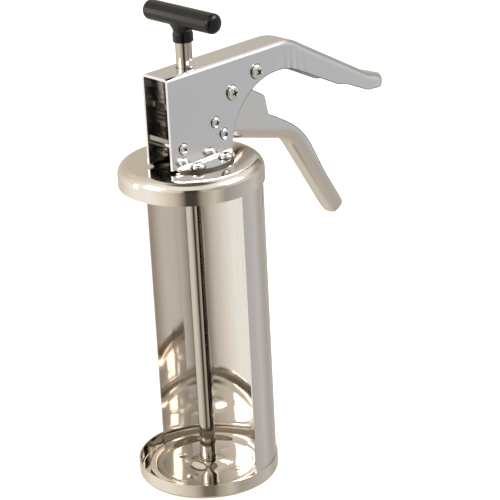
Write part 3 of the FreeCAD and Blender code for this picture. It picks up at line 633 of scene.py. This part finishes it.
def turned_form(profile, segments=48):
    """A closed solid of revolution about Z from (radius, z) points, in mm."""
    form = bmesh.new()
    rings = []
    for radius, z in profile:
        count = segments if radius > 1e-6 else 1
        rings.append([form.verts.new((radius * math.cos(math.tau * i / count) * MM,
                                      radius * math.sin(math.tau * i / count) * MM, z * MM))
                      for i in range(count)])
    for low, high in zip(rings, rings[1:]):
        for i in range(segments):
            corners = [low[i % len(low)], low[(i + 1) % len(low)],
                       high[(i + 1) % len(high)], high[i % len(high)]]
            form.faces.new(list(dict.fromkeys(corners)))
    bmesh.ops.recalc_face_normals(form, faces=form.faces)
    return form


def pan_screw(size, length, spin):
    """One pan-head screw, its head's underside at z 0, with a tapered cross recess."""
    thread, head, tall = size
    dome = [(head * math.sin(math.radians(a)), tall * (0.40 + 0.60 * math.cos(math.radians(a))))
            for a in (0, 12, 24, 36, 48, 60, 70, 80, 90)]
    form = turned_form(dome + [(head, tall * 0.12), (head + 0.35, tall * 0.04), (head + 0.35, 0.0),
                               (thread, 0.0), (thread, 0.3 - length), (thread - 0.3, -length),
                               (0, -length)])
    body = bpy.data.meshes.new("screw_blank")
    form.to_mesh(body)
    form.free()
    blank = bpy.data.objects.new("screw_blank", body)
    cutter = bmesh.new()
    for angle in (spin, spin + 90):
        arm, web, floor = head * 0.56, head * 0.125, tall * 0.42
        bar = bmesh.ops.create_cube(cutter, size=1.0)["verts"]
        for vert in bar:
            top = vert.co.z > 0
            vert.co.x = math.copysign(arm if top else arm * 0.45, vert.co.x) * MM
            vert.co.y = math.copysign(web * (1.15 if top else 0.8), vert.co.y) * MM
            vert.co.z = (tall + 0.3 if top else floor) * MM
        bmesh.ops.rotate(cutter, verts=bar, matrix=Matrix.Rotation(math.radians(angle), 3, "Z"))
    cross = bpy.data.meshes.new("cross_cutter")
    cutter.to_mesh(cross)
    cutter.free()
    tool = bpy.data.objects.new("cross_cutter", cross)
    for thing in (blank, tool):
        bpy.context.collection.objects.link(thing)
    cut = blank.modifiers.new("recess", "BOOLEAN")
    cut.operation, cut.object, cut.solver, cut.use_self = "DIFFERENCE", tool, "EXACT", True
    mesh = bpy.data.meshes.new_from_object(
        blank.evaluated_get(bpy.context.evaluated_depsgraph_get()))
    for thing in (blank, tool):
        bpy.data.objects.remove(thing)
    # faces deep in the cross recess and round the head's foot get the painted shade
    for face in mesh.polygons:
        out = math.hypot(face.center.x, face.center.y) / MM
        lift = tall * (0.40 + 0.60 * math.sqrt(max(0.0, 1 - (out / head) ** 2)))
        sunk = 0 < face.center.z / MM < lift - 0.12 and out < head * 0.62
        rim = face.center.z < 0.13 * tall * MM and out > head * 0.9
        face.material_index = 1 if sunk or rim else 0
    return mesh


def screw_set(name, size, length, places, rides, replaced):
    """Several screws as one piece; each place is (matrix, spin in degrees)."""
    form = bmesh.new()
    for at, spin in places:
        one = pan_screw(size, length, spin)
        one.transform(at)
        form.from_mesh(one)
        bpy.data.meshes.remove(one)
    mesh = bpy.data.meshes.new(name)
    form.to_mesh(mesh)
    form.free()
    mesh.materials.append(screw_steel)
    mesh.materials.append(recess_painted_shade)
    piece = bpy.data.objects.new(name, mesh)
    bpy.context.collection.objects.link(piece)
    settle(piece, 40)
    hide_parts(replaced)
    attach(piece, rides)


def across(x, z):
    """Where a screw sits whose head bears on the side plate at -Y."""
    return (Matrix.Translation(Vector((x, -HEAD_HALF, z)) * MM)
            @ Matrix.Rotation(math.pi / 2, 4, "X"))


screw_set("pan_screws_feet", M4, 6.7,
          [(Matrix.Translation(Vector((x, y, FOOT_FACE)) * MM), 20 + 35 * i)
           for i, (x, y) in enumerate([(-9.3, -16), (11.2, -16), (-9.3, 16), (11.2, 16)])],
          "frame", "foot_screws")
screw_set("pan_screw_pivot", M4, ACROSS_HEAD, [(across(PIVOT_X, PIVOT_Z), 12)],
          "frame", "pivot_screw")
screw_set("pan_screw_stop", M4, ACROSS_HEAD, [(across(43.7, 229.3), 35)],
          "frame", "stop_screw")
screw_set("pan_screws_guides", M3, 23.2,
          [(across(10.9, 208.8), 10), (across(16.9, 200.7), 28), (across(-13.6, 200.4), 50)],
          "frame", "guide_screws")

# ---- T-handle ----------------------------------------------------------------------------
# Black phenolic, moulded in one piece: a bar with round ends on a short stem that flares into
# it. The mould leaves a deep gloss with fine pits, and hands have dulled it in patches.
GRIP_Z = 269.0                   # height of the bar's middle
GRIP_HALF, GRIP_R, GRIP_END = 27.0, 5.6, 3.4      # the bar's half length, radius and dome length
GRIP_DROP, GRIP_BORE_R = 13.5, 4.5                # from the bar's middle to the stem's foot
handle_black = bpy.data.materials.new("phenolic_black_moulded")
handle_black.use_nodes = True
tree = handle_black.node_tree
tree.nodes.clear()
place = add(tree, "TexCoord").outputs["Object"]
pits = add(tree, "TexNoise", {"Scale": 1 / (0.9 * MM), "Detail": 2.0}, {"Vector": place})
rub = add(tree, "TexNoise", {"Scale": 1 / (14 * MM), "Detail": 3.0}, {"Vector": place})
gloss = add(tree, "MapRange", {"From Min": 0.3, "From Max": 0.7, "To Min": 0.16, "To Max": 0.26},
            {"Value": rub.outputs["Fac"]})
relief = add(tree, "Bump", {"Strength": 0.25, "Distance": 0.05 * MM},
             {"Height": pits.outputs["Fac"]})
skin = add(tree, "BsdfPrincipled",
           {"Base Color": linear("#050505"), "IOR": 1.45, "Specular IOR Level": 0.38},
           {"Roughness": gloss.outputs[0], "Normal": relief.outputs[0]})
add(tree, "OutputMaterial", (), {"Surface": skin.outputs[0]})


def moulded_grip():
    """The bar with round ends and its flared stem, joined and bored for the rod, as one mesh."""
    # each end is a blunt dome: its radius grows faster than a ball's
    dome = [(GRIP_R * math.sin(math.radians(a)) ** 0.8, GRIP_END * (1 - math.cos(math.radians(a))))
            for a in (18, 30, 42, 54, 66, 78, 90)]
    bar = turned_form([(0, -GRIP_HALF)] + [(r, -GRIP_HALF + run) for r, run in dome]
                      + [(r, GRIP_HALF - run) for r, run in reversed(dome)] + [(0, GRIP_HALF)])
    bar.transform(Matrix.Rotation(math.pi / 2, 4, "X"))
    foot = -GRIP_DROP
    stem = turned_form([(0, foot), (5.3, foot), (5.6, foot + 0.4), (5.6, foot + 4.4),
                        (5.35, foot + 4.9), (5.2, foot + 5.6), (5.2, -6.6), (5.3, -5.6),
                        (5.4, -4.6), (5.4, -1.0), (0, -1.0)])
    for vert in stem.verts:
        vert.co.y *= 1 + 0.75 * soft(vert.co.z / MM, -8.2, -3.4) ** 1.5
    forms = []
    for name, form in (("grip_bar", bar), ("grip_stem", stem)):
        mesh = bpy.data.meshes.new(name)
        form.to_mesh(mesh)
        form.free()
        forms.append(bpy.data.objects.new(name, mesh))
        bpy.context.collection.objects.link(forms[-1])
    forms.append(drill(GRIP_BORE_R, (0, 0, -20), (0, 0, -1.0)))
    for kind, other in (("UNION", forms[1]), ("DIFFERENCE", forms[2])):
        join = forms[0].modifiers.new(kind.lower(), "BOOLEAN")
        join.operation, join.object, join.solver = kind, other, "EXACT"
    mesh = bpy.data.meshes.new_from_object(
        forms[0].evaluated_get(bpy.context.evaluated_depsgraph_get()))
    for thing in forms:
        bpy.data.objects.remove(thing)
    return mesh


grip_mesh = moulded_grip()
grip_mesh.transform(Matrix.Translation((0, 0, GRIP_Z * MM)))
grip_mesh.materials.clear()
grip_mesh.materials.append(handle_black)
grip = bpy.data.objects.new("t_grip_moulding", grip_mesh)
bpy.context.collection.objects.link(grip)
settle(grip, 50)
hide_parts("t_handle")
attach(grip, "rod")
